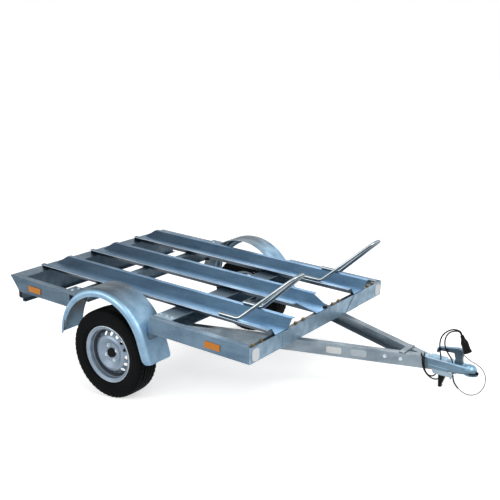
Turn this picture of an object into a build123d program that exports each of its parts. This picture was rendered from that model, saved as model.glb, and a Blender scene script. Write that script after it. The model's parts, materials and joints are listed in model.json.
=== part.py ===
# Motorcycle trailer: a folded-sheet bed with three wheel rails, a V drawbar under it, a torsion axle
# with trailing arms, two road wheels under round mudguards, and a pressed ball coupling at the nose.
# Millimetres. It is drawn level, +X forward, +Y left, +Z up, with the wheel axis above X = 0 and the
# ground at Z = 0. A trailer with no jack parks nose down, so at the end every piece is turned about
# the wheel axis until the foot below the coupling stands on the ground.
import math
import os

from build123d import *

# Bed
bed_length = 1980.0
bed_width = 1550.0
bed_front = 1060.0            # front face of the bed ahead of the wheel axis
frame_top = 605.0
frame_depth = 100.0           # height of the side and cross members
sheet = 3.0                   # thickness of the folded steel
side_flange = 45.0
front_top_flange = 25.0
front_bottom_flange = 60.0
mid_front_top_flange = 138.0  # the cross member ahead of the wheels is a wide channel
mid_front_bottom_flange = 111.0
mid_rear_top_flange = 56.0
mid_rear_bottom_flange = 25.0
seat_gap = 0.3                # running gap between pieces that sit on each other

# Rear beam
beam_top_flange = 110.0
beam_drop = 159.0             # top of the bed to the lower edge of the lamp panel
beam_return = 25.0
beam_rear_lip = 12.0
side_end_run = 74.0           # slanted rear end of the side members, measured along X
side_end_drop = 91.0

# Rails
rail_pitch = 460.0
rail_floor = 134.0
rail_flare = 40.0             # how far each rail wall leans out
rail_lip = 30.0
rail_height = 50.0
rail_rear_inset = 37.0        # rail floor's end ahead of the bed's rear edge
rail_rear_taper = 63.0        # the rail walls start this much further forward
rail_front_inset = 2.0
centre_rail_front_taper = 136.0
stop_radius = 13.0            # black buffer under the rear end of each rail's right-hand lip
stop_neck_radius = 8.0
stop_neck_height = 4.0

# Wheel hoops
hoop_tube = 22.0
hoop_base_run = 140.0         # run on the rail's lips behind the bend
hoop_bend_inset = 223.0       # bend behind the bed's front face
hoop_top_run = 327.0          # the top lies this far ahead of the bend
hoop_top_rise = 300.0
hoop_top_half_width = 48.0
hoop_bend_radius = 60.0
hoop_top_radius = 44.0

# Drawbar
drawbar_height = 75.0
drawbar_flange = 45.0
drawbar_half_spread = 291.6   # web to centre plane at the bed's front face
drawbar_slope = 0.3695        # how fast each arm closes in, per unit of length along X
apex_ahead = 762.0            # front end of the arms ahead of the bed
gusset_width = 104.0
gusset_foot = 156.0           # the plate's outer edge from the arm's web
tie_ahead = 564.0
tie_width = 34.0
tie_thickness = 6.0

# Wheels and axle
tyre_radius = 289.0
tyre_width = 156.0
track = 1476.0                # between the wheels' centre planes
rim_lip_radius = 182.5
bead_radius = 165.0
rim_well_radius = 147.0
rim_half_width = 68.0
rim_sheet = 4.0
vent_count = 16
vent_radius = 13.0
vent_ring_radius = 128.0
wheel_face_offset = 30.0      # bolting face outboard of the wheel's centre plane
hub_radius = 62.0
hub_body_radius = 45.0
hub_flange = 12.0
hub_cap_radius = 30.0
hub_cap_reach = 14.0
hub_cap_wall = 2.0
hub_length = 76.0
stub_radius = 20.0
stub_clearance = 0.1
stub_end_gap = 6.0
axle_section = 70.0
axle_wall = 5.0
axle_ahead = 148.0
arm_thickness = 24.0
arm_to_tyre = 18.0
drawbar_to_tyre = 16.0

# Mudguards
guard_radius = 367.0
guard_behind = 31.0           # its arc's centre behind the wheel axis
guard_centre_height = 343.0   # the rear end is cut off level at this height too
guard_inside = 31.0           # the band's inner edge inboard of the tyre
guard_outside = 17.0          # its outer lip outboard of the tyre
guard_sheet = 2.0
guard_roll = 32.0             # radius of the rolled-over outer edge
guard_lip = 48.0
skirt_angle = 20.0            # above the level of the centre; from here the front runs down straight
skirt_length = 158.0
skirt_inner_corner = 20.0
skirt_lip_corner = 40.0
front_member_gap = 17.0       # guard to the members ahead of it, level with their lower edge
rear_member_gap = 5.0
bracket_drop = 60.0           # the front plate hangs this far below the frame
bracket_inset = 11.0
top_plate_behind = 52.0       # the rear plate's reach behind the cross member
top_plate_inset = 34.0

# Coupling
coupling_width = 74.0
coupling_sheet = 4.0
coupling_edge_radius = 6.0
coupling_overlap = 55.0       # its top edge behind the arms' front ends
coupling_rear_slope = 20.0    # the side walls' rear edges run forward by this much towards the bottom
coupling_depth = 61.0
bead_below_top = 44.0         # pressed bead along each side wall
bead_radius_pressed = 2.6
bead_proud = 1.6
neck_ahead = 92.0             # from here the channel draws in to the head, ahead of the arms
ball_ahead = 220.0
ball_radius = 25.25           # socket of a 50 mm ball
ball_below_top = 23.3
socket_wall = 6.0
mouth_below_ball = 25.0
mouth_lip = 8.0
nose_reach = 41.0             # nose of the head ahead of the ball's centre
head_corner_radius = 14.0
dome_radius = 33.0
dome_behind = 18.0            # crown of the dome behind the ball's centre
lever_width = 26.0
lever_ahead = 142.0
lever_reach = 133.0
lever_sheet = 3.0
lever_boss_radius = 11.0
trim_depth = 4.5
trim_height = 6.0
trim_nub_radius = 6.0
trim_nub_height = 12.0

# Bracket and foot below the coupling
bracket_depth = 27.0
bracket_behind = 4.0          # its rear end behind the arms' front ends
bracket_ahead = 128.0
bracket_rear_slope = 12.0
bracket_front_slope = 8.0
spine_half = 12.0
hook_width = 10.0
foot_ahead = 45.0
foot_length = 85.0
foot_tip_half = 8.0
foot_top_length = 48.0
foot_width = 22.0

# Cables and plug
cable_hole_a = (1861.0, -16.0)
cable_hole_b = (1934.0, -19.0)
cable_hole_clearance = 1.5
neck_hollow = 28.0            # half width of the hollow below the neck
wire_pin = (1941.0, 437.0)
wire_pin_radius = 3.5
cable_diameter = 8.0
wire_diameter = 5.0
plug_radius = 21.0
plug_boot_radius = 9.5
plug_neck_radius = 13.0
plug_boot_length = 24.0
plug_shoulder = 18.0
plug_length = 62.0
plug_collar = 14.0
plug_collar_proud = 3.0

# Lamps and reflectors
lamp_length = 200.0
lamp_height = 68.0
lamp_depth = 40.0
lamp_inset = 110.0
lamp_below_top = 113.0
lens_thickness = 8.0
lens_border = 4.0
reflector_thickness = 6.0
side_reflector = (110.0, 38.0)
side_reflector_below_top = 56.0
side_reflector_rear = 237.0   # rear one ahead of the bed's rear edge
side_reflector_front = 263.0  # front one behind the bed's front face
front_reflector = (66.0, 76.0)
front_reflector_inset = 52.0
front_reflector_below_top = 53.0

half_width = bed_width / 2
bed_rear = bed_front - bed_length
frame_bottom = frame_top - frame_depth
wheel_y = track / 2
tyre_inner_face = wheel_y - tyre_width / 2
tyre_outer_face = wheel_y + tyre_width / 2
guard_inner_edge = tyre_inner_face - guard_inside
guard_outer_edge = tyre_outer_face + guard_outside
guard_half_chord = math.sqrt(guard_radius ** 2 - (frame_bottom - guard_centre_height) ** 2)
front_mid_cross_rear = -guard_behind + guard_half_chord + front_member_gap
rear_mid_cross_rear = -guard_behind - guard_half_chord - rear_member_gap
drawbar_bottom = frame_bottom - drawbar_height
drawbar_front = bed_front + apex_ahead
# the arms reach back under the frame until the tyres are this close
drawbar_rear = bed_front - (tyre_inner_face - drawbar_to_tyre - drawbar_half_spread) / drawbar_slope
axle_height = drawbar_bottom - axle_section / 2 - seat_gap
arm_inner_face = tyre_inner_face - arm_to_tyre - arm_thickness
arm_end_radius = axle_section / 2 - 1
coupling_top = frame_bottom + seat_gap + coupling_sheet
coupling_bottom = coupling_top - coupling_depth
coupling_rear = drawbar_front - coupling_overlap
neck_start = drawbar_front + neck_ahead
ball_centre = drawbar_front + ball_ahead
ball_height = coupling_top - ball_below_top
socket_mouth = ball_height - mouth_below_ball
socket_outside = ball_radius + socket_wall
bracket_top = coupling_bottom - seat_gap
bracket_bottom = bracket_top - bracket_depth
foot_x = drawbar_front + foot_ahead
foot_height = bracket_bottom - foot_length
lip_top = frame_top + rail_height + sheet
lip_centre = rail_floor / 2 + rail_flare + rail_lip / 2
far = 2 * bed_length          # longer than anything a cut has to clear


def strip_outline(points, thickness):
    """Closed outline of a folded strip: the given line, and the same line moved to its left."""
    moved = []
    for index, (x, y) in enumerate(points):
        before = points[max(index - 1, 0)]
        after = points[min(index + 1, len(points) - 1)]
        normals = []
        for a, b in ((before, (x, y)), ((x, y), after)):
            length = math.hypot(b[0] - a[0], b[1] - a[1])
            if length > 0:
                normals.append((-(b[1] - a[1]) / length, (b[0] - a[0]) / length))
        nx = sum(n[0] for n in normals) / len(normals)
        ny = sum(n[1] for n in normals) / len(normals)
        scale = thickness / (nx * nx + ny * ny)
        moved.append((x + nx * scale, y + ny * scale))
    return points + moved[::-1]


def folded_along_x(points, x_start, x_end):
    """A folded strip drawn in Y and Z and run along X."""
    with BuildPart() as strip:
        with BuildSketch(Plane.YZ.offset(x_start)):
            with BuildLine():
                Polyline(*strip_outline(points, sheet), close=True)
            make_face()
        extrude(amount=x_end - x_start)
    return strip.part


def folded_along_y(points, y_reach):
    """A folded strip drawn in X and Z and run along Y, the same to both sides."""
    with BuildPart() as strip:
        with BuildSketch(Plane.XZ):
            with BuildLine():
                Polyline(*strip_outline(points, sheet), close=True)
            make_face()
        extrude(amount=y_reach, both=True)
    return strip.part


# ---------------------------------------------------------------- bed frame

def side_member(sign, front):
    """C member with its web outside, from the end of the bed to the cross member beside the wheel."""
    flange = half_width - side_flange
    points = [(sign * flange, frame_bottom), (sign * half_width, frame_bottom),
              (sign * half_width, frame_top), (sign * flange, frame_top)]
    if sign < 0:
        points = points[::-1]
    if front:
        start, end = front_mid_cross_rear + sheet + seat_gap, bed_front - sheet
        cuts = ((bed_front, front_top_flange, frame_top), (bed_front, front_bottom_flange, frame_bottom))
    else:
        start, end = bed_rear, rear_mid_cross_rear - seat_gap
        cuts = ((bed_rear, beam_top_flange, frame_top), (bed_rear, beam_top_flange, frame_bottom))
    inside = sign * (half_width - sheet - side_flange / 2)
    with BuildPart() as member:
        add(folded_along_x(points, start, end))
        # each flange stops where the flange of the member across the bed's end begins
        for corner_x, length, height in cuts:
            with Locations((corner_x, inside, height)):
                Box(2 * length, side_flange, frame_depth, mode=Mode.SUBTRACT)
        if not front:
            with BuildSketch(Plane.XZ):
                with BuildLine():
                    Polyline((bed_rear, frame_top), (bed_rear + side_end_run, frame_top - side_end_drop),
                             (bed_rear + side_end_run, frame_bottom), (bed_rear, frame_bottom), close=True)
                make_face()
            extrude(amount=bed_width, both=True, mode=Mode.SUBTRACT)
    return member.part


def mid_cross(rear_x, top_flange, bottom_flange, top_reach, bottom_reach):
    """Channel across the bed, open to the front, its web closing the side members' ends."""
    points = [(rear_x + top_flange, frame_top), (rear_x, frame_top),
              (rear_x, frame_bottom), (rear_x + bottom_flange, frame_bottom)]
    with BuildPart() as channel:
        add(folded_along_y(points, half_width))
        # the flanges reach less far out than the web where something else is in their way
        for height, reach in ((frame_top, top_reach), (frame_bottom, bottom_reach)):
            for sign in (1, -1):
                with Locations((rear_x + sheet + far / 2, sign * (reach + far / 2), height)):
                    Box(far, far, frame_depth, mode=Mode.SUBTRACT)
    return channel.part


def front_cross():
    """Channel open to the rear, its web the bed's front face."""
    points = [(bed_front - front_bottom_flange, frame_bottom), (bed_front, frame_bottom),
              (bed_front, frame_top), (bed_front - front_top_flange, frame_top)]
    with BuildPart() as channel:
        add(folded_along_y(points, half_width - sheet))
        # the web covers the side members' ends
        with BuildSketch(Plane.YZ.offset(bed_front - sheet)):
            for sign in (1, -1):
                with Locations((sign * (half_width - sheet / 2), frame_top - frame_depth / 2)):
                    Rectangle(sheet, frame_depth)
        extrude(amount=sheet)
    return channel.part


def rear_beam():
    """Top flange along the bed's rear edge, lamp panel hanging from its front edge."""
    web_x = bed_rear + beam_top_flange
    points = [(bed_rear, frame_top - beam_rear_lip), (bed_rear, frame_top), (web_x, frame_top),
              (web_x, frame_top - beam_drop), (web_x + beam_return, frame_top - beam_drop)]
    return folded_along_y(points[::-1], half_width - sheet)


# ---------------------------------------------------------------- rails

def rail(centre_y, front_taper=0.0):
    """Trough for a motorcycle's tyres: floor, two leaning walls, flat lips; walls cut back at the rear."""
    half_floor = rail_floor / 2
    wall_top = half_floor + rail_flare
    left_half = [(half_floor, frame_top), (wall_top, frame_top + rail_height),
                 (wall_top + rail_lip, frame_top + rail_height)]
    points = [(centre_y - y, z) for y, z in left_half[::-1]] + [(centre_y + y, z) for y, z in left_half]
    start = bed_rear + rail_rear_inset
    end = bed_front - rail_front_inset
    with BuildPart() as trough:
        add(folded_along_x(points, start, end))
        for corner, run in ((start, rail_rear_taper), (end, -front_taper)):
            if run:
                with BuildSketch(Plane.XZ):
                    with BuildLine():
                        Polyline((corner, frame_top + sheet), (corner + run, lip_top), (corner, lip_top),
                                 close=True)
                    make_face()
                extrude(amount=bed_width, both=True, mode=Mode.SUBTRACT)
    return trough.part


def rail_stops():
    """Black round-headed buffers under the rear ends of the rails' right-hand lips."""
    stop_x = bed_rear + rail_rear_inset + rail_rear_taper + stop_radius
    seat_z = frame_top + rail_height - seat_gap
    with BuildPart() as stops:
        for centre_y in (-rail_pitch, 0, rail_pitch):
            place = (stop_x, centre_y - lip_centre)
            with BuildSketch(Plane.XY.offset(seat_z)):
                with Locations(place):
                    Circle(stop_neck_radius)
            extrude(amount=-stop_neck_height)
            with Locations((*place, seat_z - stop_neck_height)):
                Sphere(stop_radius, arc_size2=0, align=(Align.CENTER, Align.CENTER, Align.MAX))
    return stops.part


# ---------------------------------------------------------------- wheel hoops

def wheel_hoop(centre_y):
    """Bent tube: two runs on the rail's lips, legs that close in as they rise, a round top."""
    run_z = lip_top + hoop_tube / 2 + seat_gap
    bend_x = bed_front - hoop_bend_inset
    start_x = bend_x - hoop_base_run
    top_x = bend_x + hoop_top_run
    top_z = run_z + hoop_top_rise
    with BuildPart() as hoop:
        with BuildLine() as route:
            FilletPolyline((start_x, centre_y - lip_centre, run_z), (bend_x, centre_y - lip_centre, run_z),
                           (top_x, centre_y - hoop_top_half_width, top_z),
                           (top_x, centre_y + hoop_top_half_width, top_z),
                           (bend_x, centre_y + lip_centre, run_z), (start_x, centre_y + lip_centre, run_z),
                           radius=[hoop_bend_radius, hoop_top_radius, hoop_top_radius, hoop_bend_radius])
        with BuildSketch(Plane(origin=(start_x, centre_y - lip_centre, run_z), z_dir=(1, 0, 0))):
            Circle(hoop_tube / 2)
        sweep(path=route.wires()[0])
    return hoop.part


# ---------------------------------------------------------------- drawbar

def arm_y(x):
    """Distance of a drawbar arm's web from the centre plane at a given X."""
    return drawbar_half_spread - drawbar_slope * (x - bed_front)


def drawbar_arm(sign):
    """C member on edge under the frame, web outside, closing in to the coupling."""
    angle = math.atan(drawbar_slope)
    along = Plane(origin=(drawbar_rear, sign * arm_y(drawbar_rear), drawbar_bottom),
                  x_dir=(math.cos(angle), -sign * math.sin(angle), 0), z_dir=(0, 0, 1))
    across = Plane(origin=along.origin, x_dir=along.y_dir, z_dir=along.x_dir)
    inward = -sign * drawbar_flange
    points = [(inward, 0), (0, 0), (0, drawbar_height), (inward, drawbar_height)]
    if sign < 0:
        points = points[::-1]
    with BuildPart() as arm:
        with BuildSketch(across):
            with BuildLine():
                Polyline(*strip_outline(points, sheet), close=True)
            make_face()
        extrude(amount=(drawbar_front - drawbar_rear) / math.cos(angle) + drawbar_flange)
        # both ends are cut square, and the apex just short of the centre plane
        with Locations((drawbar_front + far / 2, 0, 0), (drawbar_rear - far / 2, 0, 0),
                       (0, -sign * (far / 2 - seat_gap), 0)):
            Box(far, far, far, mode=Mode.SUBTRACT)
    return arm.part


def gussets():
    """Sloping plates on the bed's front face, each beside an arm."""
    low = frame_bottom + seat_gap
    with BuildPart() as plates:
        with BuildSketch(Plane.YZ.offset(bed_front + seat_gap)):
            for sign in (1, -1):
                inner = sign * arm_y(bed_front)
                top = inner + sign * gusset_width
                outer = inner + sign * gusset_foot
                with BuildLine():
                    Polyline((inner, low), (top, frame_top), (outer, frame_top), (outer, low), close=True)
                make_face()
        extrude(amount=sheet)
    return plates.part


def drawbar_tie():
    """Small cross plate on top of the arms near the apex."""
    rear = bed_front + tie_ahead
    with BuildPart() as tie:
        with BuildSketch(Plane.XY.offset(frame_bottom + seat_gap)):
            with Locations((rear + tie_width / 2, 0)):
                Rectangle(tie_width, 2 * arm_y(rear + tie_width))
        extrude(amount=tie_thickness)
    return tie.part


# ---------------------------------------------------------------- axle and wheels

def axle_beam():
    """Square rubber-torsion axle tube under the drawbar arms."""
    with BuildPart() as tube:
        with BuildSketch(Plane.XZ):
            with Locations((axle_ahead, axle_height)):
                Rectangle(axle_section, axle_section)
                Rectangle(axle_section - 2 * axle_wall, axle_section - 2 * axle_wall, mode=Mode.SUBTRACT)
        extrude(amount=arm_inner_face, both=True)
    return tube.part


def trailing_arm(sign):
    """Cranked arm from the axle tube to the stub that carries the hub."""
    stub_plate_radius = 0.8 * arm_end_radius
    stub_end = wheel_y + wheel_face_offset - rim_sheet - stub_end_gap
    with BuildPart() as arm:
        with BuildSketch(Plane.XZ.offset(-sign * arm_inner_face)):
            # the two round ends and the web along their common tangents
            with Locations((axle_ahead, axle_height)):
                Circle(arm_end_radius)
            with Locations((0, tyre_radius)):
                Circle(stub_plate_radius)
            make_hull()
        extrude(amount=-sign * arm_thickness)
        with BuildSketch(Plane.XZ.offset(-sign * (arm_inner_face + arm_thickness))):
            with Locations((0, tyre_radius)):
                Circle(stub_radius)
        extrude(amount=-sign * (stub_end - arm_inner_face - arm_thickness))
    return arm.part


def wheel_plane(sign):
    """Plane across the wheel axis, X radial and Y outboard, for the wheel's turned profiles."""
    return Plane(origin=(0, sign * wheel_y, tyre_radius), x_dir=(1, 0, 0), z_dir=(0, 0, sign))


wheel_axis = Axis((0, 0, tyre_radius), (0, 1, 0))


def hub(sign):
    """Hub turned about the wheel axis, with its bolting flange against the rim and a grease cap."""
    face = wheel_face_offset - rim_sheet
    back = face - hub_length
    bore = stub_radius + stub_clearance
    with BuildPart() as body:
        with BuildSketch(wheel_plane(sign)):
            with BuildLine():
                Polyline((bore, back), (hub_body_radius, back), (hub_body_radius, face - hub_flange),
                         (hub_radius, face - hub_flange), (hub_radius, face), (hub_cap_radius, face),
                         (hub_cap_radius, face + hub_cap_reach), (0, face + hub_cap_reach),
                         (0, face - hub_cap_wall), (bore, face - hub_cap_wall), close=True)
            make_face()
        revolve(axis=wheel_axis)
    return body.part


def rim(sign):
    """Steel wheel: rolled rim and a dished disc with a ring of round vents."""
    face = wheel_face_offset
    half = rim_half_width
    bead_width = 30.0
    rim_line = [(rim_lip_radius, -half), (bead_radius, 10 - half), (bead_radius - 2, bead_width - half),
                (rim_well_radius, 42 - half), (rim_well_radius, half - 46), (bead_radius - 2, half - 34),
                (bead_radius, half - 10), (rim_lip_radius, half)]
    disc_line = [(hub_cap_radius + 1, face - rim_sheet), (hub_radius + 4, face - rim_sheet), (98, face + 16),
                 (112, face + 10), (rim_well_radius - rim_sheet + 1, face - 20)]
    with BuildPart() as wheel:
        with BuildSketch(wheel_plane(sign)):
            for line in (rim_line, disc_line):
                with BuildLine():
                    Polyline(*strip_outline(line, rim_sheet), close=True)
                make_face()
        revolve(axis=wheel_axis)
        inboard = Plane(origin=(0, sign * (wheel_y - half), tyre_radius), x_dir=(1, 0, 0), z_dir=(0, sign, 0))
        with BuildSketch(inboard):
            with PolarLocations(vent_ring_radius, vent_count):
                Circle(vent_radius)
        extrude(amount=2 * half, mode=Mode.SUBTRACT)
    return wheel.part


def tyre(sign):
    """Tyre as one turned solid: beads on the rim, bulging sidewalls, sloping shoulders, a flat tread."""
    half = tyre_width / 2
    seat = bead_radius + 0.5
    outboard = [(seat, rim_half_width - 14), (rim_lip_radius + 3, rim_half_width - 2),
                (rim_lip_radius + 22, half - 3), (tyre_radius - 58, half), (tyre_radius - 26, half - 5),
                (tyre_radius - 10, half - 14), (tyre_radius - 3, half - 27), (tyre_radius, half - 52)]
    inboard = [(radius, -y) for radius, y in outboard[::-1]]
    with BuildPart() as ring:
        with BuildSketch(wheel_plane(sign)):
            with BuildLine():
                Polyline(*outboard, *inboard, close=True)
            make_face()
        revolve(axis=wheel_axis)
    return ring.part


# ---------------------------------------------------------------- mudguards

def mudguard(sign):
    """Round guard: a band that rolls over into a deep outer lip, and a straight skirt in front."""
    rise = math.radians(skirt_angle)
    radial = Vector(math.cos(rise), 0, math.sin(rise))
    centre = Vector(-guard_behind, 0, guard_centre_height)
    shoulder = sign * (guard_outer_edge - guard_roll)
    inside = guard_radius - guard_sheet
    roll_start = guard_radius - guard_roll
    outer = sign * guard_outer_edge
    outer_inside = sign * (guard_outer_edge - guard_sheet)
    inner = sign * guard_inner_edge
    lip_edge = guard_radius - guard_lip
    skirt_bottom = (centre + radial * guard_radius).Z - skirt_length * math.cos(rise)
    section = Plane(origin=centre, x_dir=radial, z_dir=(-math.sin(rise), 0, math.cos(rise)))
    with BuildPart() as guard:
        with BuildSketch(section) as profile:
            with BuildLine():
                Polyline((lip_edge, outer), (roll_start, outer))
                RadiusArc((roll_start, outer), (guard_radius, shoulder), sign * guard_roll)
                Polyline((guard_radius, shoulder), (guard_radius, inner), (inside, inner), (inside, shoulder))
                RadiusArc((inside, shoulder), (roll_start, outer_inside), -sign * (guard_roll - guard_sheet))
                Polyline((roll_start, outer_inside), (lip_edge, outer_inside), (lip_edge, outer))
            make_face()
        revolve(axis=Axis(centre, (0, -1, 0)), revolution_arc=180 - skirt_angle)
        extrude(profile.sketch, amount=-skirt_length - guard_lip)
        # the skirt's lower edge is level
        with Locations((0, 0, skirt_bottom - far / 2)):
            Box(far, far, far, mode=Mode.SUBTRACT)
        # the lip's lower corner is rounded off: the corner outside a circle that touches both edges
        round_z = skirt_bottom + skirt_lip_corner
        along = ((centre + radial * (lip_edge + skirt_lip_corner)).Z - round_z) / math.cos(rise)
        downward = Vector(math.sin(rise), 0, -math.cos(rise))
        round_centre = centre + radial * (lip_edge + skirt_lip_corner) + downward * along
        touch = round_centre - radial * skirt_lip_corner
        corner_x = touch.X + (touch.Z - skirt_bottom) * math.tan(rise)
        with BuildSketch(Plane.XZ):
            with BuildLine():
                Polyline((touch.X, touch.Z), (corner_x - 1, skirt_bottom - 1),
                         (round_centre.X, skirt_bottom - 1), (round_centre.X, round_centre.Z), close=True)
            make_face()
            with Locations((round_centre.X, round_centre.Z)):
                Circle(skirt_lip_corner, mode=Mode.SUBTRACT)
        extrude(amount=-sign * far, mode=Mode.SUBTRACT)
        # the lip tapers to a point at the rear end
        taper_front = centre.X - lip_edge + guard_lip
        taper_top = centre.Z + 2 * guard_lip
        with BuildSketch(Plane.XZ):
            with BuildLine():
                Polyline((centre.X - roll_start, centre.Z - 1), (taper_front, centre.Z - 1),
                         (taper_front, taper_top), (centre.X - lip_edge, taper_top), close=True)
            make_face()
        extrude(amount=-sign * far, mode=Mode.SUBTRACT)
        # and the skirt's inner lower corner is rounded too
        corner_y = guard_inner_edge + skirt_inner_corner
        corner_z = skirt_bottom + skirt_inner_corner
        with BuildSketch(Plane.YZ.offset(touch.X)):
            with Locations((sign * (corner_y - skirt_inner_corner), corner_z - skirt_inner_corner)):
                Rectangle(2 * skirt_inner_corner, 2 * skirt_inner_corner)
            with Locations((sign * corner_y, corner_z)):
                Circle(skirt_inner_corner, mode=Mode.SUBTRACT)
        extrude(amount=far, mode=Mode.SUBTRACT)
    return guard.part


def guard_plates():
    """Plates that carry each mudguard: one hangs in front of it, one lies on the frame behind it."""
    inner = guard_inner_edge + bracket_inset
    plate_top = frame_top + seat_gap
    with BuildPart() as plates:
        for sign in (1, -1):
            # front: below the cross member ahead of the wheel, down to the guard's front
            with BuildSketch(Plane.YZ.offset(front_mid_cross_rear)):
                with Locations((sign * (inner + half_width) / 2, frame_bottom - seat_gap - bracket_drop / 2)):
                    Rectangle(half_width - inner, bracket_drop)
            extrude(amount=sheet)
            # rear: on top of the cross member and the side member, forward to the guard's crown
            low = rear_mid_cross_rear - top_plate_behind
            with BuildSketch(Plane.XY.offset(plate_top)):
                with Locations(((low - guard_behind) / 2, sign * (guard_inner_edge + guard_outer_edge) / 2)):
                    Rectangle(-guard_behind - low, guard_outer_edge - guard_inner_edge - 2 * top_plate_inset)
            extrude(amount=sheet)
        # both are trimmed to the guard's outside
        with BuildSketch(Plane.XZ):
            with Locations((-guard_behind, guard_centre_height)):
                Circle(guard_radius + seat_gap)
            rise = math.radians(skirt_angle)
            skirt_x = -guard_behind + (guard_radius + seat_gap) * math.cos(rise)
            skirt_z = guard_centre_height + (guard_radius + seat_gap) * math.sin(rise)
            skirt_low = skirt_z - skirt_length * math.cos(rise)
            with BuildLine():
                Polyline((0, skirt_z), (skirt_x, skirt_z), (skirt_x + skirt_length * math.sin(rise), skirt_low),
                         (0, skirt_low), close=True)
            make_face()
        extrude(amount=far, both=True, mode=Mode.SUBTRACT)
    return plates.part


# ---------------------------------------------------------------- coupling

def coupling_body():
    """Pressed channel over the drawbar's apex, drawn in to a domed head with the ball socket."""
    half = coupling_width / 2
    inside = half - coupling_sheet
    hollow_top = coupling_top - coupling_sheet
    with BuildPart() as body:
        with BuildSketch(Plane.XZ):
            with BuildLine():
                Polyline((coupling_rear, coupling_top), (neck_start, coupling_top),
                         (neck_start, coupling_bottom), (coupling_rear + coupling_rear_slope, coupling_bottom),
                         close=True)
            make_face()
        extrude(amount=half, both=True)
        fillet(body.edges().filter_by(Axis.X).group_by(Axis.Z)[-1], coupling_edge_radius)
        with BuildSketch(Plane.YZ.offset(neck_start)):
            with Locations((0, (coupling_bottom + coupling_top) / 2)):
                RectangleRounded(coupling_width, coupling_depth, coupling_edge_radius)
        with BuildSketch(Plane.YZ.offset(ball_centre)):
            with Locations((0, (socket_mouth + coupling_top) / 2)):
                RectangleRounded(2 * socket_outside - 2, coupling_top - socket_mouth, head_corner_radius)
        loft()
        # the head: a dome over the ball, a higher crown behind it, and a lip round the mouth
        with Locations((ball_centre, 0, ball_height)):
            Sphere(socket_outside)
        with Locations((ball_centre - dome_behind, 0, ball_height)):
            Sphere(dome_radius, arc_size1=0, align=(Align.CENTER, Align.CENTER, Align.MIN))
        for radius, height in ((socket_outside, mouth_below_ball), (nose_reach, mouth_lip)):
            with BuildSketch(Plane.XY.offset(socket_mouth)):
                with Locations((ball_centre, 0)):
                    Circle(radius)
            extrude(amount=height)
        # below the head the blank is cut back to the mouth's height
        with BuildSketch(Plane.XZ):
            with BuildLine():
                Polyline((ball_centre - nose_reach, socket_mouth), (ball_centre + far, socket_mouth),
                         (ball_centre + far, coupling_bottom - 1),
                         (ball_centre - nose_reach, coupling_bottom - 1), close=True)
            make_face()
        extrude(amount=coupling_width, both=True, mode=Mode.SUBTRACT)
        # inside of the channel, open below and behind
        with BuildSketch(Plane.XZ):
            with BuildLine():
                Polyline((coupling_rear - 1, hollow_top), (neck_start, hollow_top),
                         (neck_start, coupling_bottom - 1), (coupling_rear - 1, coupling_bottom - 1),
                         close=True)
            make_face()
        extrude(amount=inside, both=True, mode=Mode.SUBTRACT)
        neck_end = cable_hole_b[0] + cable_diameter + 2 * coupling_sheet
        with BuildSketch(Plane.XY.offset(coupling_bottom - 1)):
            with Locations(((neck_start + neck_end) / 2, 0)):
                Rectangle(neck_end - neck_start, 2 * neck_hollow)
        extrude(amount=hollow_top - coupling_bottom + 1, mode=Mode.SUBTRACT)
        # holes that the two cables come up through
        with BuildSketch(Plane.XY.offset(hollow_top - coupling_sheet)):
            with Locations(cable_hole_a, cable_hole_b):
                Circle(cable_diameter / 2 + cable_hole_clearance)
        extrude(amount=4 * coupling_sheet, mode=Mode.SUBTRACT)
        # ball socket
        with BuildSketch(Plane.XY.offset(socket_mouth - 1)):
            with Locations((ball_centre, 0)):
                Circle(ball_radius)
        extrude(amount=mouth_below_ball + 1, mode=Mode.SUBTRACT)
        with Locations((ball_centre, 0, ball_height)):
            Sphere(ball_radius, mode=Mode.SUBTRACT)
        # beads pressed along the side walls
        bead_rear = coupling_rear + coupling_rear_slope + coupling_edge_radius
        bead_y = half + bead_proud - bead_radius_pressed
        for sign in (1, -1):
            with BuildSketch(Plane.YZ.offset(bead_rear)):
                with Locations((sign * bead_y, coupling_top - bead_below_top)):
                    Circle(bead_radius_pressed)
            extrude(amount=neck_start - bead_rear)
    return body.part


def coupling_handle():
    """Hand lever on its post: a folded lever with a turned-down grip end, laid back over the housing."""
    pivot = drawbar_front + lever_ahead
    end = pivot - lever_reach
    half = lever_width / 2
    # heights above the housing
    waist, rear_low, rear_high, ridge = 25, 35, 63, 88
    outline = [(end, rear_low), (end + 3, rear_high), (end + 16, rear_high + 5), (pivot - 8, ridge),
               (pivot + 14, ridge - 3), (pivot + 22, ridge - 23), (pivot + 20, waist), (pivot + 24, seat_gap),
               (pivot - 22, seat_gap), (pivot - 18, waist), (pivot - 28, ridge - 32),
               (end + 24, rear_high - 13), (end + 12, rear_low)]
    with BuildPart() as handle:
        with BuildSketch(Plane.XZ):
            with BuildLine():
                Polyline(*[(x, coupling_top + z) for x, z in outline], close=True)
            make_face()
        extrude(amount=half, both=True)
        fillet(handle.edges().filter_by(Axis.Y).sort_by(Axis.X)[:3], lever_sheet)
        with BuildSketch(Plane.XZ):
            with Locations((pivot + 2, coupling_top + ridge - 27)):
                Circle(lever_boss_radius)
        extrude(amount=half + lever_sheet, both=True)
        # the lever is a folded channel, open below
        with BuildSketch(Plane.XZ):
            with BuildLine():
                Polyline((end + 25, coupling_top + rear_low), (end + 25, coupling_top + rear_high),
                         (pivot - 30, coupling_top + ridge - 8), (pivot - 30, coupling_top + rear_low),
                         close=True)
            make_face()
        extrude(amount=half - lever_sheet, both=True, mode=Mode.SUBTRACT)
    return handle.part


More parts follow.
